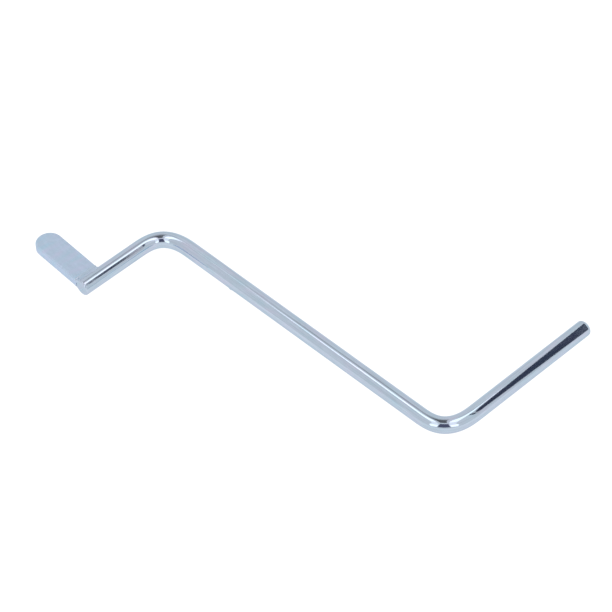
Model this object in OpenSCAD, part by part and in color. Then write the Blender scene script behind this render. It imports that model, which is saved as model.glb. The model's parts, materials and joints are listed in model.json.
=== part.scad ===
// String winder: one round rod bent twice into a crank, with a flat round-tipped blade
// welded square to the side of its short leg. All lengths are millimetres.
// The crank lies flat: the rod touches z = 0, +Y runs along the crank arm, and the
// origin is under the middle of the whole winder's bounding box.

/* [Rod] */
// Diameter of the round rod
rod_d = 6; // [6:0.5:8]
// Shaft leg, from its cut end to the arm's centre line
shaft_leg = 40; // [32:1:60]
// Crank arm, between the centre lines of the two legs
arm = 140; // [80:5:200]
// Handle leg, from the arm's centre line to its rounded end
handle_leg = 70; // [45:5:110]
// Radius of both bends, at the rod's centre line
bend_r = 10.5; // [8:0.5:14]
// Rounding of the rim at the handle leg's end
handle_round = 1.5; // [0.5:0.1:1.5]
// Rounding of the rim at the shaft leg's cut end
shaft_round = 0.6; // [0.2:0.1:1.2]

/* [Blade] */
// Width of the flat blade
blade_w = 10; // [7:0.5:12]
// Thickness of the blade
blade_t = 3.5; // [2.5:0.25:4]
// Reach of the blade, from the rod's axis to its tip
blade_reach = 29.5; // [18:0.5:45]
// Lean of the blade towards the arm, away from square to the rod, in degrees
blade_lean = 3.4; // [0:0.2:5]
// Rounding of the blade's long edges
blade_round = 0.4; // [0.2:0.1:0.8]

/* [Weld] */
// Bevel on the edges of the blade's foot, which makes room for the weld
weld_bevel = 0.8; // [0.4:0.1:1.2]
// Length at each end of the seam that the beads leave open
weld_gap = 0.8; // [0.5:0.1:2]

/* [Hidden] */
$fn = 64;

zinc = [0.72, 0.77, 0.83];
weld_zinc = [0.66, 0.72, 0.79];

rod_r = rod_d / 2;
// Straight stretches between the bends' tangent points
shaft_straight = shaft_leg - bend_r;
arm_straight = arm - 2 * bend_r;
handle_straight = handle_leg - bend_r;

// The blade's outer edge is flush with the rod's cut end where it crosses the rod's axis
blade_axis_x = -shaft_leg + blade_w / 2;
blade_tip_centre = blade_reach - blade_w / 2;
// The blade's square end, which butts against the rod's side
blade_foot = rod_r;

// A bead's flat face runs from its toe, at the bevel's upper edge, to where it is
// tangent to the rod. Both points are measured from the rod's axis, across and up.
weld_toe = [blade_foot + weld_bevel, blade_t / 2];
weld_crest_angle = atan2(weld_toe.y, weld_toe.x) + acos(rod_r / norm(weld_toe));
weld_crest = rod_r * [cos(weld_crest_angle), sin(weld_crest_angle)];
// Segments of the rod's circle under a bead, so that the bead's thin lip follows it closely
weld_seat_segments = 360;
// Where the leaning blade meets the rod's side
seam_mid_x = blade_axis_x + blade_foot * tan(blade_lean);
seam_length = blade_w / cos(blade_lean) - 2 * weld_gap;

// Corners of the bounding box before it is centred
low_y = -arm / 2 - rod_r;
high_y = arm / 2 + blade_tip_centre * cos(blade_lean) + blade_w / 2;
centre_x = (handle_leg - shaft_leg) / 2;
centre_y = (low_y + high_y) / 2;

// From the crank's own frame, centred on the arm's axis, to the part's frame
module placed() {
    translate([-centre_x, -centre_y, rod_r]) children();
}

// A straight leg along +Z from the origin, with the rim of its far end rounded
module rounded_leg(length, rim) {
    rotate_extrude() {
        square([rod_r, length - rim]);
        square([rod_r - rim, length]);
        translate([rod_r - rim, length - rim]) circle(rim);
    }
}

// A quarter turn of the rod in the XY plane, around the origin, starting on +X
module bend() {
    rotate_extrude(angle = 90) translate([bend_r, 0]) circle(rod_r);
}

// The blade's cross-section, with its four corners rounded
module blade_section() {
    square([blade_w, blade_t - 2 * blade_round], center = true);
    square([blade_w - 2 * blade_round, blade_t], center = true);
    for (side = [-1, 1], face = [-1, 1])
        translate([side * (blade_w / 2 - blade_round), face * (blade_t / 2 - blade_round)])
            circle(blade_round);
}

// The blade lying along +Y from the rod's axis, before its foot is trimmed
module blade_blank() {
    translate([0, blade_tip_centre, 0]) {
        rotate([90, 0, 0]) linear_extrude(blade_tip_centre) blade_section();
        rotate_extrude(angle = 180) intersection() {
            blade_section();
            translate([0, -blade_t]) square([blade_w, 2 * blade_t]);
        }
    }
}

// The end of the blade at the rod, seen along the rod: square, with bevelled edges.
// The rod's axis is at the origin.
module foot_profile() {
    foot_flat = blade_t / 2 - weld_bevel;
    polygon([
        [blade_foot, -foot_flat], [weld_toe.x, -weld_toe.y],
        [2 * blade_reach, -weld_toe.y], [2 * blade_reach, weld_toe.y],
        weld_toe, [blade_foot, foot_flat]
    ]);
}

// One bead in the groove between the rod and the blade's foot, above the blade
module weld_bead() {
    translate([seam_mid_x - seam_length / 2, arm / 2, 0])
        rotate([90, 0, 90]) linear_extrude(seam_length) difference() {
            polygon([[0, 0], [weld_toe.x, 0], weld_toe, weld_crest]);
            circle(rod_r, $fn = weld_seat_segments);
            foot_profile();
        }
}

module crank_rod() {
    color(zinc) placed() {
        // Shaft leg, with its cut end on -X
        translate([-bend_r, arm / 2, 0]) rotate([0, -90, 0])
            rounded_leg(shaft_straight, shaft_round);
        translate([-bend_r, arm / 2 - bend_r, 0]) bend();
        // Crank arm
        translate([0, arm_straight / 2, 0]) rotate([90, 0, 0])
            cylinder(r = rod_r, h = arm_straight);
        translate([bend_r, -arm / 2 + bend_r, 0]) rotate([0, 0, 180]) bend();
        // Handle leg, with its rounded end on +X
        translate([bend_r, -arm / 2, 0]) rotate([0, 90, 0])
            rounded_leg(handle_straight, handle_round);
    }
}

module blade() {
    color(zinc) placed() translate([0, arm / 2, 0]) intersection() {
        translate([blade_axis_x, 0, 0]) rotate([0, 0, -blade_lean]) blade_blank();
        // Trims the foot parallel to the rod and bevels it
        translate([-2 * shaft_leg, 0, 0]) rotate([90, 0, 90])
            linear_extrude(2 * shaft_leg) foot_profile();
    }
}

module weld_bead_top() {
    color(weld_zinc) placed() weld_bead();
}

module weld_bead_bottom() {
    color(weld_zinc) placed() mirror([0, 0, 1]) weld_bead();
}

crank_rod();
blade();
weld_bead_top();
weld_bead_bottom();
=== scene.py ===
"""Looks of the string winder: a plated crank rod, a flat blade and the two weld beads between them.

All lengths are metres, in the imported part's frame. The rod, the blade and the beads are built
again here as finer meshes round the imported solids, and each stands for its own CAD node.
"""

import json
import math

import bpy
import numpy as np
from mathutils import Matrix, Vector, noise


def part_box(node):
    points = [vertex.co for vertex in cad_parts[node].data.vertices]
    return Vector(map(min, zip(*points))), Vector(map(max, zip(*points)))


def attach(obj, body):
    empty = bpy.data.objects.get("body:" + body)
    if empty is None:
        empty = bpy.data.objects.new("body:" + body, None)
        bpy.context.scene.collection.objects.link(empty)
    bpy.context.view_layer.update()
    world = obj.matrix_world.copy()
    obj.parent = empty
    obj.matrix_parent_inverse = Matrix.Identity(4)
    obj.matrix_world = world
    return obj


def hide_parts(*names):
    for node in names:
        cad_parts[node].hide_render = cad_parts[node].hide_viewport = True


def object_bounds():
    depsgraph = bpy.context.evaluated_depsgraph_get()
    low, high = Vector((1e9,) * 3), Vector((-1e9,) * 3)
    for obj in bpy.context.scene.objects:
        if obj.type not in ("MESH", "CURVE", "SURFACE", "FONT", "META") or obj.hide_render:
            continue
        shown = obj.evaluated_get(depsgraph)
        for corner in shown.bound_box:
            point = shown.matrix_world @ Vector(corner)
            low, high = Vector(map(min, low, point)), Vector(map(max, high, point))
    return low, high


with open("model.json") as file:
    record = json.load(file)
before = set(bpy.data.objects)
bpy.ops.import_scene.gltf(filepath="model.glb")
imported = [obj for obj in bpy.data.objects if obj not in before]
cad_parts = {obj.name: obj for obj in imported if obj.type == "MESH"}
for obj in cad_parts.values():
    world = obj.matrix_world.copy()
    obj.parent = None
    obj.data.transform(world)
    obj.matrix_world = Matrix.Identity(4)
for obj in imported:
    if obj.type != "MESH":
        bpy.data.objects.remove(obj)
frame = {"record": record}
CAD_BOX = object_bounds()
MM = 0.001

# ---------------------------------------------------------------- places taken from the frame
ROD_LOW, ROD_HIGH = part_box("crank_rod")
BLADE_LOW, BLADE_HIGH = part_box("blade")
MOUNTS = {mount["name"]: mount for mount in frame["record"]["mounts"]}
HANDLE = MOUNTS["handle_end"]

ROD_R = (ROD_HIGH.z - ROD_LOW.z) / 2
AXIS_Z = ROD_LOW.z + ROD_R
SHAFT_Y = ROD_HIGH.y - ROD_R
HANDLE_Y = ROD_LOW.y + ROD_R
SHAFT_END_X = ROD_LOW.x
HANDLE_END_X = ROD_HIGH.x
# As in the part's source. A bend's radius and the blade's outline don't show in the frame.
BEND_R = 10.5 * MM
ARM_X = HANDLE["pos_m"][0] - HANDLE["dims"]["length_mm"] * MM / 2 - BEND_R

BLADE_T = BLADE_HIGH.z - BLADE_LOW.z
BLADE_W = 10 * MM
BLADE_LEAN = math.radians(3.4)
BLADE_BASE = Vector((SHAFT_END_X + BLADE_W / 2, SHAFT_Y, AXIS_Z))
BLADE_TIP_CENTRE = (BLADE_HIGH.y - BLADE_W / 2 - SHAFT_Y) / math.cos(BLADE_LEAN)
FOOT_BEVEL = 0.8 * MM

# ---------------------------------------------------------------- camera, as the photograph's
CAMERA_AZIMUTH = math.radians(-43.193)
CAMERA_ELEVATION = math.radians(46.05)
CAMERA_ROLL = math.radians(-1.942)
CAMERA_DISTANCE = 1.07108
CAMERA_LENS = 179.69
CAMERA_AIM = Vector((-5.802 * MM, -6.338 * MM, 0))


def make_camera():
    """Looks at a point near the middle of the object, from the front left and above."""
    data = bpy.data.cameras.new("camera")
    data.sensor_width = 36
    data.lens = CAMERA_LENS
    data.clip_start = 0.05
    data.clip_end = 20
    camera = bpy.data.objects.new("camera", data)
    bpy.context.scene.collection.objects.link(camera)
    forward = Vector((
        -math.sin(CAMERA_AZIMUTH) * math.cos(CAMERA_ELEVATION),
        math.cos(CAMERA_AZIMUTH) * math.cos(CAMERA_ELEVATION),
        -math.sin(CAMERA_ELEVATION),
    ))
    level_right = forward.cross(Vector((0, 0, 1))).normalized()
    level_up = level_right.cross(forward)
    cos_roll, sin_roll = math.cos(CAMERA_ROLL), math.sin(CAMERA_ROLL)
    right = level_right * cos_roll + level_up * sin_roll
    up = level_up * cos_roll - level_right * sin_roll
    middle = (CAD_BOX[0] + CAD_BOX[1]) / 2
    place = Matrix((right, up, -forward)).transposed().to_4x4()
    place.translation = middle + CAMERA_AIM - forward * CAMERA_DISTANCE
    camera.matrix_world = place
    bpy.context.scene.camera = camera


# ---------------------------------------------------------------- mesh helpers
CREASE = math.radians(35)


def new_object(name, points, faces, smooth=True):
    mesh = bpy.data.meshes.new(name)
    mesh.from_pydata([tuple(p) for p in points], [], faces)
    mesh.polygons.foreach_set("use_smooth", [smooth] * len(mesh.polygons))
    mesh.validate()
    mesh.update()
    mesh.set_sharp_from_angle(angle=CREASE)
    piece = bpy.data.objects.new(name, mesh)
    bpy.context.scene.collection.objects.link(piece)
    return piece


def set_point_vectors(piece, name, values):
    """Stores one vector for each vertex, for the piece's material to read."""
    attribute = piece.data.attributes.new(name, "FLOAT_VECTOR", "POINT")
    attribute.data.foreach_set("vector", np.array(values, np.float32).ravel())


def ring_faces(first, second, count):
    """Quads between two closed rings of vertices that start at these indices."""
    return [
        (first + i, first + (i + 1) % count, second + (i + 1) % count, second + i)
        for i in range(count)
    ]


# ---------------------------------------------------------------- crank rod
RING = 96
STEP_STRAIGHT = 0.8 * MM


def turn_path(radius, ease_in, ease_out, steps=120):
    """Points of a quarter turn to the left, from the origin along +X. It eases into and out of its radius."""
    core = (math.pi / 2 - (ease_in + ease_out) / (2 * radius)) * radius
    total = ease_in + core + ease_out
    distances = np.linspace(0, total, steps + 1)
    middles = (distances[1:] + distances[:-1]) / 2
    rise = np.clip(middles / ease_in, 0, 1)
    fall = np.clip((total - middles) / ease_out, 0, 1)
    bend_rate = np.minimum(rise, fall) / radius
    headings = np.concatenate([[0], np.cumsum(bend_rate * np.diff(distances))])
    headings = headings * (math.pi / 2) / headings[-1]
    middle_headings = (headings[1:] + headings[:-1]) / 2
    lengths = np.diff(distances)
    x = np.concatenate([[0], np.cumsum(lengths * np.cos(middle_headings))])
    y = np.concatenate([[0], np.cumsum(lengths * np.sin(middle_headings))])
    return np.stack([x, y], 1)


def straight_run(start, end, step):
    """Points from start to just before end, at about this step."""
    count = max(2, round(float(np.linalg.norm(end - start)) / step))
    return [start + (end - start) * i / count for i in range(count)]


# Each bend: radius of its middle, then how far it eases in and out along the rod
SHAFT_BEND = (7.75 * MM, 9.5 * MM, 14.3 * MM)
HANDLE_BEND = (7.8 * MM, 9.4 * MM, 14.6 * MM)


def rod_centre_line():
    """Points on the rod's axis, in plan, from the shaft leg's end to the handle leg's."""
    shaft_turn = turn_path(*SHAFT_BEND)
    handle_turn = turn_path(*HANDLE_BEND)
    corner_shaft = np.array([ARM_X, SHAFT_Y])
    corner_handle = np.array([ARM_X, HANDLE_Y])
    # The shaft bend comes in along +X and turns right, so its sideways part is flipped
    shaft_points = [
        corner_shaft + [x - shaft_turn[-1, 0], -y] for x, y in shaft_turn
    ]
    # The handle bend comes in along -Y and turns left, towards +X
    handle_points = [
        corner_handle + [y, handle_turn[-1, 0] - x] for x, y in handle_turn
    ]
    shaft_end = np.array([SHAFT_END_X, SHAFT_Y])
    handle_end = np.array([HANDLE_END_X, HANDLE_Y])
    line = straight_run(shaft_end, shaft_points[0], STEP_STRAIGHT)
    line += shaft_points[:-1]
    line += straight_run(shaft_points[-1], handle_points[0], STEP_STRAIGHT)
    line += handle_points[:-1]
    line += straight_run(handle_points[-1], handle_end, STEP_STRAIGHT)
    line.append(handle_end)
    return np.array(line)


def end_profile(rim, dome, arc_steps=10, face_steps=8):
    """Rings of a rod end from its axis outwards: (distance back from the end, radius)."""
    flat = ROD_R - rim
    rings = []
    for i in range(1, face_steps):
        r = flat * i / face_steps
        rings.append((dome * (r / flat) ** 2, r))
    for i in range(arc_steps + 1):
        a = math.pi / 2 * i / arc_steps
        rings.append((dome + (rim - dome) * (1 - math.cos(a)), flat + rim * math.sin(a)))
    return rings


SHAFT_RIM, SHAFT_DOME = 0.6 * MM, 0.05 * MM
HANDLE_RIM, HANDLE_DOME = 1.5 * MM, 0.2 * MM
END_CLEARANCE = 0.1 * MM
# A nub in the plating: how far along the arm, how high, how wide, and its place round the rod
NUB_DOWN, NUB_HEIGHT, NUB_WIDTH = 37 * MM, 0.30 * MM, 0.45 * MM
NUB_ANGLE = math.radians(-147)
# The drawn bar's waviness: its share of the radius, its length, and how finely it varies round the rod
WAVE_SHARE, WAVE_LENGTH, WAVE_ROUND = 0.0012, 9 * MM, 1.3


def make_rod():
    """The bent rod as one swept mesh, with eased bends, rounded ends, slight waviness and the nub."""
    line = rod_centre_line()
    steps = np.linalg.norm(np.diff(line, axis=0), axis=1)
    along = np.concatenate([[0], np.cumsum(steps)])
    total = along[-1]
    shaft_rings = end_profile(SHAFT_RIM, SHAFT_DOME)
    handle_rings = end_profile(HANDLE_RIM, HANDLE_DOME)
    first_inner = shaft_rings[-1][0] + END_CLEARANCE
    last_inner = total - handle_rings[-1][0] - END_CLEARANCE
    inner = along[(along > first_inner) & (along < last_inner)]
    stations = list(shaft_rings)
    stations += [(s, ROD_R) for s in inner]
    stations += [(total - back, radius) for back, radius in reversed(handle_rings)]
    s_all = np.array([s for s, _ in stations])
    centres = np.stack([np.interp(s_all, along, line[:, k]) for k in (0, 1)], 1)
    tangents = np.gradient(line, along, axis=0)
    tangents = np.stack([np.interp(s_all, along, tangents[:, k]) for k in (0, 1)], 1)
    tangents /= np.linalg.norm(tangents, axis=1)[:, None]
    nub_s = np.interp(NUB_DOWN, SHAFT_Y - line[:, 1], along)
    points, straightened = [], []
    for (s, radius), centre, tangent in zip(stations, centres, tangents):
        left = Vector((-tangent[1], tangent[0], 0))
        for i in range(RING):
            a = 2 * math.pi * i / RING
            out = left * math.cos(a) + Vector((0, 0, 1)) * math.sin(a)
            wave = noise.noise(Vector((s / WAVE_LENGTH, WAVE_ROUND * math.cos(a), WAVE_ROUND * math.sin(a))))
            r = radius * (1 + WAVE_SHARE * wave)
            turn = math.remainder(a - NUB_ANGLE, 2 * math.pi) * ROD_R
            reach = ((s - nub_s) ** 2 + turn ** 2) / NUB_WIDTH ** 2
            r += NUB_HEIGHT * math.exp(-reach)
            points.append(Vector((centre[0], centre[1], AXIS_Z)) + out * r)
            straightened.append((s, radius * math.cos(a), radius * math.sin(a)))
    faces = []
    for k in range(len(stations) - 1):
        faces += ring_faces(k * RING, (k + 1) * RING, RING)
    for s, first, order in ((0, 0, 1), (total, (len(stations) - 1) * RING, -1)):
        tip = len(points)
        centre = [np.interp(s, along, line[:, k]) for k in (0, 1)]
        points.append(Vector((centre[0], centre[1], AXIS_Z)))
        straightened.append((s, 0, 0))
        for i in range(RING):
            corner = (first + (i + 1) % RING, first + i, tip)
            faces.append(corner[::order])
    rod = new_object("plated_crank_rod", points, faces)
    set_point_vectors(rod, "straightened", straightened)
    return rod


# ---------------------------------------------------------------- blade
BLADE_EDGE = 0.7 * MM
EDGE_STEPS = 6
# Rows of points on a flat face, as shares of the way in from the edge to the middle line
FACE_ROWS = (0.999, 0.8, 0.55, 0.3, 0.16)
# How far along the blade the foot's shape fades out
FOOT_RUN = 2 * MM
BLADE_RIPPLE, BLADE_RIPPLE_LENGTH = 0.012 * MM, 3.5 * MM


def blade_loop(inset, tip_steps=40, side_steps=26):
    """An open outline from one foot corner round the tip to the other, inset from the edge."""
    half = BLADE_W / 2 - inset
    foot = ROD_R + FOOT_BEVEL
    side = [(half, foot + (BLADE_TIP_CENTRE - foot) * i / side_steps) for i in range(side_steps)]
    tip = [
        (half * math.cos(a), BLADE_TIP_CENTRE + half * math.sin(a))
        for a in (math.pi * i / tip_steps for i in range(tip_steps + 1))
    ]
    return side + tip + [(-x, y) for x, y in reversed(side)]


def blade_to_frame(x, y, z):
    """From the blade's own frame, with the rod's axis at y = 0, to the part's frame."""
    c, s = math.cos(BLADE_LEAN), math.sin(BLADE_LEAN)
    return Vector((BLADE_BASE.x + x * c + y * s, BLADE_BASE.y + y * c - x * s, AXIS_Z + z))


def make_blade():
    """Flat bar with a full-round tip and rounded edges, its foot bevelled and cut along the rod."""
    half_t = BLADE_T / 2
    arc = [math.pi / 2 * i / EDGE_STEPS for i in range(EDGE_STEPS + 1)]
    insets = [BLADE_W / 2 * f for f in FACE_ROWS]
    upper = [(d, half_t) for d in insets]
    upper += [(BLADE_EDGE * (1 - math.sin(a)), half_t - BLADE_EDGE * (1 - math.cos(a))) for a in arc]
    side = [(0, z * (half_t - BLADE_EDGE)) for z in (0.5, 0, -0.5)]
    lower = [(d, -z) for d, z in reversed(upper)]
    profile = upper + side + lower
    points, flat = [], []
    for inset, z in profile:
        # The foot's bevel: towards the middle of the thickness the foot reaches nearer the rod
        reach = max(0.0, min(FOOT_BEVEL, half_t - abs(z)))
        for x, y in blade_loop(inset):
            foot_share = max(0.0, 1 - (y - ROD_R - FOOT_BEVEL) / FOOT_RUN)
            y_here = y - reach * foot_share
            # The lean is taken out of the foot, so that it stays along the rod
            y_here += x * math.tan(BLADE_LEAN) * foot_share
            ripple = noise.noise(Vector((x, y, z)) / BLADE_RIPPLE_LENGTH) * BLADE_RIPPLE
            points.append(blade_to_frame(x, y_here, z + ripple * (1 if z > 0 else -1)))
            flat.append((x, y, z))
    count = len(blade_loop(0))
    faces = []
    for k in range(len(profile) - 1):
        for i in range(count - 1):
            a, b = k * count + i, (k + 1) * count + i
            faces.append((a, a + 1, b + 1, b))
    # Closes the foot, and the thin slits along the middle of both flat faces
    foot_right = [k * count for k in range(len(profile))]
    foot_left = [k * count + count - 1 for k in range(len(profile))]
    for k in range(len(profile) - 1):
        faces.append((foot_right[k], foot_right[k + 1], foot_left[k + 1], foot_left[k]))
    for k, order in ((0, 1), (len(profile) - 1, -1)):
        for i in range(count // 2):
            a, b = k * count + i, k * count + count - 1 - i
            if b - a < 2:
                break
            faces.append(((a, b, b - 1, a + 1) if b - a > 2 else (a, b, a + 1))[::order])
    blade = new_object("plated_blade", points, faces)
    set_point_vectors(blade, "flat_place", flat)
    return blade


# ---------------------------------------------------------------- weld beads
WELD_CREST = math.radians(66)
WELD_LAP = 0.25 * MM
WELD_SKIN = 0.01 * MM
WELD_SPREAD = 0.78 * MM
WELD_TAPER = 0.5 * MM
# How far the ends sink towards the root: at the edges, and how much more in the middle
WELD_SINK_EDGE, WELD_SINK_MIDDLE, WELD_SINK_POWER = 0.15, 0.3, 1.5
# The fillet's root, from the rod's side inwards and above its axis
WELD_ROOT_IN, WELD_ROOT_UP = 0.1 * MM, 0.4 * MM
# Ripples of the cooled metal: height, length along the bead, and how finely they vary across it
WELD_RIPPLE, WELD_RIPPLE_LENGTH, WELD_RIPPLE_ACROSS = 0.035 * MM, 0.8 * MM, 2.2
# Craters where the weld starts and stops: distance from each end of the bead, and share of the way across
WELD_CRATERS = ((1.0 * MM, 0.62), (0.55 * MM, 0.62))
CRATER_DEPTH, CRATER_RADIUS = 0.42 * MM, 0.42 * MM


def make_weld(name, node, up):
    """A fillet along the blade's foot, smooth into the rod and the blade, that sinks at both ends."""
    low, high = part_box(node)
    toe = Vector((ROD_R + FOOT_BEVEL + WELD_LAP, BLADE_T / 2 + WELD_SKIN))
    crest = Vector((math.cos(WELD_CREST), math.sin(WELD_CREST))) * (ROD_R + WELD_SKIN)
    # The rod's tangent at the crest meets the blade's face here, which makes the fillet smooth at both edges
    knee = Vector((crest.x + (crest.y - toe.y) * math.tan(WELD_CREST), toe.y))
    root = Vector((ROD_R - WELD_ROOT_IN, WELD_ROOT_UP))
    across, length_steps = 14, 80
    start, end = low.x - WELD_SPREAD, high.x + WELD_SPREAD
    points, flat = [], []
    for k in range(length_steps + 1):
        share = k / length_steps
        x = start + (end - start) * share
        from_end = min(share, 1 - share) * (end - start)
        sunk = max(0.0, 1 - from_end / WELD_TAPER) ** WELD_SINK_POWER
        for i in range(across + 1):
            f = i / across
            p = crest * (1 - f) ** 2 + knee * 2 * f * (1 - f) + toe * f ** 2
            p += (root - p) * sunk * (WELD_SINK_EDGE + WELD_SINK_MIDDLE * math.sin(math.pi * f))
            ripple_place = Vector((x / WELD_RIPPLE_LENGTH, f * WELD_RIPPLE_ACROSS, up))
            ripple = WELD_RIPPLE * noise.noise(ripple_place)
            p += (p - root).normalized() * ripple * math.sin(math.pi * f)
            for from_start, (inward, crater_f) in zip((x - start, end - x), WELD_CRATERS):
                sideways = (f - crater_f) * (toe - crest).length
                away = ((from_start - inward) ** 2 + sideways ** 2) / CRATER_RADIUS ** 2
                p += (root - p).normalized() * CRATER_DEPTH * math.exp(-away)
            points.append(Vector((x, SHAFT_Y + p.x, AXIS_Z + up * p.y)))
            flat.append((x, p.x, p.y))
        points.append(Vector((x, SHAFT_Y + root.x, AXIS_Z + up * root.y)))
        flat.append((x, root.x, root.y))
    ring = across + 2
    faces = []
    for k in range(length_steps):
        faces += ring_faces(k * ring, (k + 1) * ring, ring)
    faces.append(tuple(range(ring - 1, -1, -1)))
    faces.append(tuple(length_steps * ring + i for i in range(ring)))
    if up < 0:
        faces = [face[::-1] for face in faces]
    bead = new_object(name, points, faces)
    set_point_vectors(bead, "flat_place", flat)
    return bead


# ---------------------------------------------------------------- materials
def node_material(name):
    material = bpy.data.materials.new(name)
    material.use_nodes = True
    nodes, links = material.node_tree.nodes, material.node_tree.links
    return material, nodes, links, nodes["Principled BSDF"]


def noise_at(nodes, links, vector, scale, detail=4.0, roughness=0.6):
    """Noise read at a stretched copy of this vector: a big scale along an axis is fine grain along it."""
    mapping = nodes.new("ShaderNodeMapping")
    mapping.inputs["Scale"].default_value = scale
    links.new(vector, mapping.inputs["Vector"])
    texture = nodes.new("ShaderNodeTexNoise")
    texture.inputs["Scale"].default_value = 1.0
    texture.inputs["Detail"].default_value = detail
    texture.inputs["Roughness"].default_value = roughness
    links.new(mapping.outputs["Vector"], texture.inputs["Vector"])
    return texture


def ramp(nodes, links, value, stops):
    """Maps a value through colour stops: [(place, (r, g, b))]."""
    made = nodes.new("ShaderNodeValToRGB")
    elements = made.color_ramp.elements
    while len(elements) < len(stops):
        elements.new(0.5)
    for element, (place, colour) in zip(elements, stops):
        element.position = place
        element.color = (*colour, 1)
    links.new(value, made.inputs["Fac"])
    return made.outputs["Color"]


def grey(value):
    return (value, value, value)


def multiply(nodes, links, first, second):
    mix = nodes.new("ShaderNodeMix")
    mix.data_type = "RGBA"
    mix.blend_type = "MULTIPLY"
    mix.inputs["Factor"].default_value = 1
    links.new(first, mix.inputs[6])
    links.new(second, mix.inputs[7])
    return mix.outputs[2]


def bump(nodes, links, height, strength, distance, normal=None):
    made = nodes.new("ShaderNodeBump")
    made.inputs["Strength"].default_value = strength
    made.inputs["Distance"].default_value = distance
    links.new(height, made.inputs["Height"])
    if normal is not None:
        links.new(normal, made.inputs["Normal"])
    return made.outputs["Normal"]


RIM_TINT = (0.70, 0.76, 0.82)
# Scales of the patterns that all plating shares, along its attribute's three axes
PATCH_SCALE = (110, 420, 420)
CLOUD_SCALE = (420, 700, 700)
DIMPLE_SCALE = (200, 850, 850)
# How deep the drawing lines are, as a share of the lumps
LINE_DEPTH = 0.15


def scaled(colour, factors):
    return tuple(c * k for c, k in zip(colour, factors))


def plated(name, place, tint, grain, gloss, lumps, line_shade):
    """Bright zinc plating. place names the point attribute that the patterns follow, grain is the
    scale of the drawing lines along each axis, gloss the roughness range, lumps the bump depth and
    line_shade how dark the drawing lines get."""
    material, nodes, links, shader = node_material(name)
    coordinates = nodes.new("ShaderNodeAttribute")
    coordinates.attribute_name = place
    vector = coordinates.outputs["Vector"]
    drawn = noise_at(nodes, links, vector, grain, detail=5, roughness=0.65)
    patches = noise_at(nodes, links, vector, PATCH_SCALE, detail=3)
    cloud = noise_at(nodes, links, vector, CLOUD_SCALE, detail=5)
    # Passivate film: its patches drift between faint violet and cool blue-green
    film = ramp(nodes, links, patches.outputs["Fac"], [
        (0.32, scaled(tint, (1.09, 0.985, 1.02))),
        (0.45, scaled(tint, (1.03, 1.0, 1.02))),
        (0.55, tint),
        (0.68, scaled(tint, (0.93, 1.005, 1.01))),
    ])
    lines = ramp(nodes, links, drawn.outputs["Fac"], [(0.30, grey(line_shade)), (0.62, grey(1.02))])
    soft = ramp(nodes, links, cloud.outputs["Fac"], [(0.3, grey(0.95)), (0.65, grey(1.0))])
    colour = multiply(nodes, links, multiply(nodes, links, film, lines), soft)
    links.new(colour, shader.inputs["Base Color"])
    shader.inputs["Metallic"].default_value = 1
    shader.inputs["Specular Tint"].default_value = (*RIM_TINT, 1)
    rough = nodes.new("ShaderNodeMapRange")
    rough.inputs["From Min"].default_value = 0.25
    rough.inputs["From Max"].default_value = 0.75
    rough.inputs["To Min"].default_value = gloss[0]
    rough.inputs["To Max"].default_value = gloss[1]
    links.new(cloud.outputs["Fac"], rough.inputs["Value"])
    links.new(rough.outputs["Result"], shader.inputs["Roughness"])
    dimples = noise_at(nodes, links, vector, DIMPLE_SCALE, detail=2)
    normal = bump(nodes, links, dimples.outputs["Fac"], 1.0, lumps)
    normal = bump(nodes, links, drawn.outputs["Fac"], 1.0, lumps * LINE_DEPTH, normal)
    links.new(normal, shader.inputs["Normal"])
    return material


def put_on(piece, material):
    piece.data.materials.clear()
    piece.data.materials.append(material)


# ---------------------------------------------------------------- stage and light
FLOOR_SIDE = 3.0
FLOOR_GLOW = 1.0
FLOOR_ALBEDO = 0.12
AWAY = Vector((-math.sin(CAMERA_AZIMUTH), math.cos(CAMERA_AZIMUTH), 0))
RIGHTWARDS = AWAY.cross(Vector((0, 0, 1)))
ARM_MIDDLE = Vector((ARM_X, (SHAFT_Y + HANDLE_Y) / 2, AXIS_Z))
# Each straight part of the rod: the corner where its axis starts, and which way it runs
LEGS = {
    "shaft": (Vector((ARM_X, SHAFT_Y, AXIS_Z)), Vector((-1, 0, 0))),
    "arm": (Vector((ARM_X, SHAFT_Y, AXIS_Z)), Vector((0, -1, 0))),
    "handle": (Vector((ARM_X, HANDLE_Y, AXIS_Z)), Vector((1, 0, 0))),
}
DOME_RADIUS = 1.0
LAMP = grey(1.95)
LAMP_DIM = grey(1.35)
LAMP_FADE = grey(1.75)
LAMP_TIP = grey(1.25)
STAND = (0.13, 0.13, 0.20)
DARK = (0.06, 0.07, 0.11)
DIM = (0.78, 0.72, 0.72)
# How far a mirrored card is from the rod, and how finely it is divided along the leg and across it
CARD_REACH = 0.9
CARD_STEPS, CARD_ROWS = 12, 8


def make_floor():
    side = FLOOR_SIDE
    corners = [(-side, -side, 0), (side, -side, 0), (side, side, 0), (-side, side, 0)]
    floor = new_object("floor", corners, [(0, 1, 2, 3)], False)
    material, _, _, shader = node_material("pale_floor")
    shader.inputs["Base Color"].default_value = (*grey(FLOOR_ALBEDO), 1)
    shader.inputs["Roughness"].default_value = 1
    shader.inputs["Specular IOR Level"].default_value = 0
    shader.inputs["Emission Color"].default_value = (1, 1, 1, 1)
    shader.inputs["Emission Strength"].default_value = FLOOR_GLOW
    put_on(floor, material)


def make_card(name, points, faces, glow):
    """A studio card or lamp face that only reflections see. glow is its brightness in each colour."""
    card = new_object(name, points, faces, False)
    material = bpy.data.materials.new(name)
    material.use_nodes = True
    nodes, links = material.node_tree.nodes, material.node_tree.links
    nodes.remove(nodes["Principled BSDF"])
    light = nodes.new("ShaderNodeEmission")
    light.inputs["Color"].default_value = (*glow, 1)
    links.new(light.outputs["Emission"], nodes["Material Output"].inputs["Surface"])
    put_on(card, material)
    card.visible_camera = False
    card.visible_diffuse = False
    card.visible_shadow = False
    card.visible_transmission = False


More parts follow.
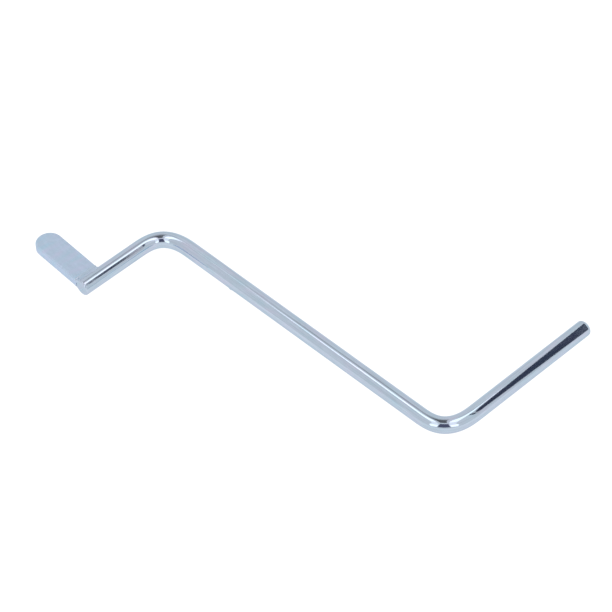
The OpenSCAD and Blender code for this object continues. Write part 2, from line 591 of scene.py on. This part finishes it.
def dome_point(x, y):
    """A place on a dome over the arm, as on a round map of it: x to the camera's right, y away from
    the camera, straight overhead at the middle of the map and the horizon 1 from there."""
    square = x * x + y * y
    direction = (RIGHTWARDS * 2 * x + AWAY * 2 * y + Vector((0, 0, 1 - square))) / (1 + square)
    return ARM_MIDDLE + direction * DOME_RADIUS


def dome_card(name, ribs, glow):
    """A card on that dome, between the ribs (y, first x, last x)."""
    points, faces = [], []
    for y, first, last in ribs:
        points += [dome_point(first, y), dome_point(last, y)]
    for i in range(0, len(points) - 2, 2):
        faces.append((i, i + 1, i + 3, i + 2))
    make_card(name, points, faces, glow)


def mirror_point(leg, along, up):
    """Where the camera's line of sight ends up once the rod mirrors it. along is the distance from
    the leg's corner, up runs from -1 at the rod's lower outline to 1 at its upper one."""
    corner, axis = LEGS[leg]
    middle = corner + axis * along
    eye = bpy.context.scene.camera.matrix_world.translation
    facing = eye - middle
    facing = (facing - axis * facing.dot(axis)).normalized()
    side = axis.cross(facing)
    if side.dot(AWAY + Vector((0, 0, 1))) < 0:
        side = -side
    normal = facing * math.sqrt(1 - up * up) + side * up
    spot = middle + normal * ROD_R
    return spot + (spot - eye).normalized().reflect(normal) * CARD_REACH


def mirrored_card(name, leg, along, low, high, glow):
    """A card placed so that this leg mirrors it to the camera over the range along it. low and high
    give the edges across the rod at both ends of that range. It is right only from this camera."""
    points = []
    for i in range(CARD_STEPS + 1):
        f = i / CARD_STEPS
        s = along[0] + (along[1] - along[0]) * f
        bottom = low[0] + (low[1] - low[0]) * f
        top = high[0] + (high[1] - high[0]) * f
        ups = [bottom + (top - bottom) * j / CARD_ROWS for j in range(CARD_ROWS + 1)]
        points += [mirror_point(leg, s, up) for up in ups]
    width = CARD_ROWS + 1
    faces = [
        (i * width + j, i * width + j + 1, (i + 1) * width + j + 1, (i + 1) * width + j)
        for i in range(CARD_STEPS) for j in range(CARD_ROWS)
    ]
    make_card(name, points, faces, glow)


def make_world():
    """Even studio surround, a little dimmer just above the horizon."""
    world = bpy.data.worlds.new("studio")
    bpy.context.scene.world = world
    world.use_nodes = True
    nodes, links = world.node_tree.nodes, world.node_tree.links
    where = nodes.new("ShaderNodeTexCoord")
    split = nodes.new("ShaderNodeSeparateXYZ")
    links.new(where.outputs["Generated"], split.inputs["Vector"])
    height = nodes.new("ShaderNodeMapRange")
    height.inputs["From Min"].default_value = -1
    links.new(split.outputs["Z"], height.inputs["Value"])
    sky = ramp(nodes, links, height.outputs["Result"], [
        (0.50, grey(0.97)),
        (0.62, grey(0.93)),
        (0.86, grey(0.96)),
    ])
    links.new(sky, nodes["Background"].inputs["Color"])
    nodes["Background"].inputs["Strength"].default_value = 1.0


def make_studio():
    make_world()
    make_floor()
    # Two long lamps pass the camera on both sides and end overhead
    dome_card("left_lamp_tip", [(0.235, -0.215, -0.185), (0.168, -0.245, -0.155)], LAMP_TIP)
    dome_card("left_lamp_fade", [(0.168, -0.245, -0.155), (0.143, -0.258, -0.148)], LAMP_FADE)
    dome_card("left_lamp_overhead", [
        (0.143, -0.258, -0.148), (0.02, -0.265, -0.12), (-0.13, -0.25, -0.12),
    ], LAMP)
    dome_card("left_lamp_middle", [
        (-0.13, -0.25, -0.12), (-0.30, -0.30, -0.13), (-0.42, -0.40, -0.17),
    ], LAMP_DIM)
    dome_card("left_lamp_front", [(-0.42, -0.42, -0.18), (-0.55, -0.55, -0.23), (-0.72, -0.62, -0.32)], LAMP)
    dome_card("right_lamp_overhead", [
        (0.215, 0.150, 0.165), (0.185, 0.140, 0.215), (0.11, 0.10, 0.245), (0.02, 0.09, 0.225),
        (-0.13, 0.09, 0.215),
    ], LAMP)
    dome_card("right_lamp_middle", [(-0.13, 0.09, 0.215), (-0.30, 0.10, 0.24), (-0.42, 0.13, 0.30)], LAMP_DIM)
    dome_card("right_lamp_front", [(-0.42, 0.13, 0.32), (-0.55, 0.17, 0.42), (-0.72, 0.24, 0.48)], LAMP)
    # A dark gap runs between them, paler past their ends
    dome_card("ceiling_gap", [(0.20, -0.08, 0.06), (0.10, -0.07, 0.05), (-0.16, -0.06, 0.055)], grey(0.18))
    dome_card("pale_gap", [(0.36, -0.03, 0.02), (0.31, -0.08, 0.06), (0.20, -0.08, 0.06)], grey(0.58))
    dome_card("left_gap", [(0.345, -0.075, -0.03), (0.30, -0.12, -0.08), (0.245, -0.15, -0.08)], grey(0.75))
    dome_card("right_gap", [(0.335, 0.02, 0.07), (0.29, 0.06, 0.115), (0.225, 0.155, 0.175)], grey(0.72))
    dome_card("camera_stand", [
        (-0.27, -0.09, 0.09), (-0.42, -0.15, 0.11), (-0.57, -0.21, 0.15), (-0.74, -0.30, 0.22),
    ], STAND)
    # Dark and dim things that the two legs mirror, seen from this camera only
    mirrored_card("dark_opening", "handle", (-5 * MM, 74 * MM), (-0.046, -0.48), (0.086, 0.46), DARK)
    mirrored_card("dark_edge", "shaft", (19.7 * MM, 38 * MM), (-0.12, -0.09), (0.16, 0.14), DARK)
    mirrored_card("dim_edge", "shaft", (10 * MM, 19.7 * MM), (-0.26, -0.26), (0.12, 0.12), DIM)


# ---------------------------------------------------------------- build
ROD_ZINC = (0.495, 0.585, 0.69)
BLADE_ZINC = (0.485, 0.595, 0.735)
WELD_ZINC = (0.48, 0.58, 0.69)
WELDS = (("plated_weld_top", "weld_bead_top", 1), ("plated_weld_bottom", "weld_bead_bottom", -1))

make_camera()
make_studio()

rod = make_rod()
put_on(rod, plated(
    "plated_rod", "straightened", ROD_ZINC,
    grain=(60, 2400, 2400), gloss=(0.05, 0.08), lumps=0.009 * MM, line_shade=0.84,
))
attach(rod, "root")
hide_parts("crank_rod")

blade = make_blade()
put_on(blade, plated(
    "plated_blade", "flat_place", BLADE_ZINC,
    grain=(900, 350, 900), gloss=(0.30, 0.42), lumps=0.006 * MM, line_shade=0.95,
))
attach(blade, "root")
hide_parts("blade")

for name, node, up in WELDS:
    bead = make_weld(name, node, up)
    put_on(bead, plated(
        name, "flat_place", WELD_ZINC,
        grain=(900, 900, 900), gloss=(0.22, 0.35), lumps=0.01 * MM, line_shade=0.94,
    ))
    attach(bead, "root")
    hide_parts(node)

bpy.context.scene.view_settings.view_transform = "Standard"
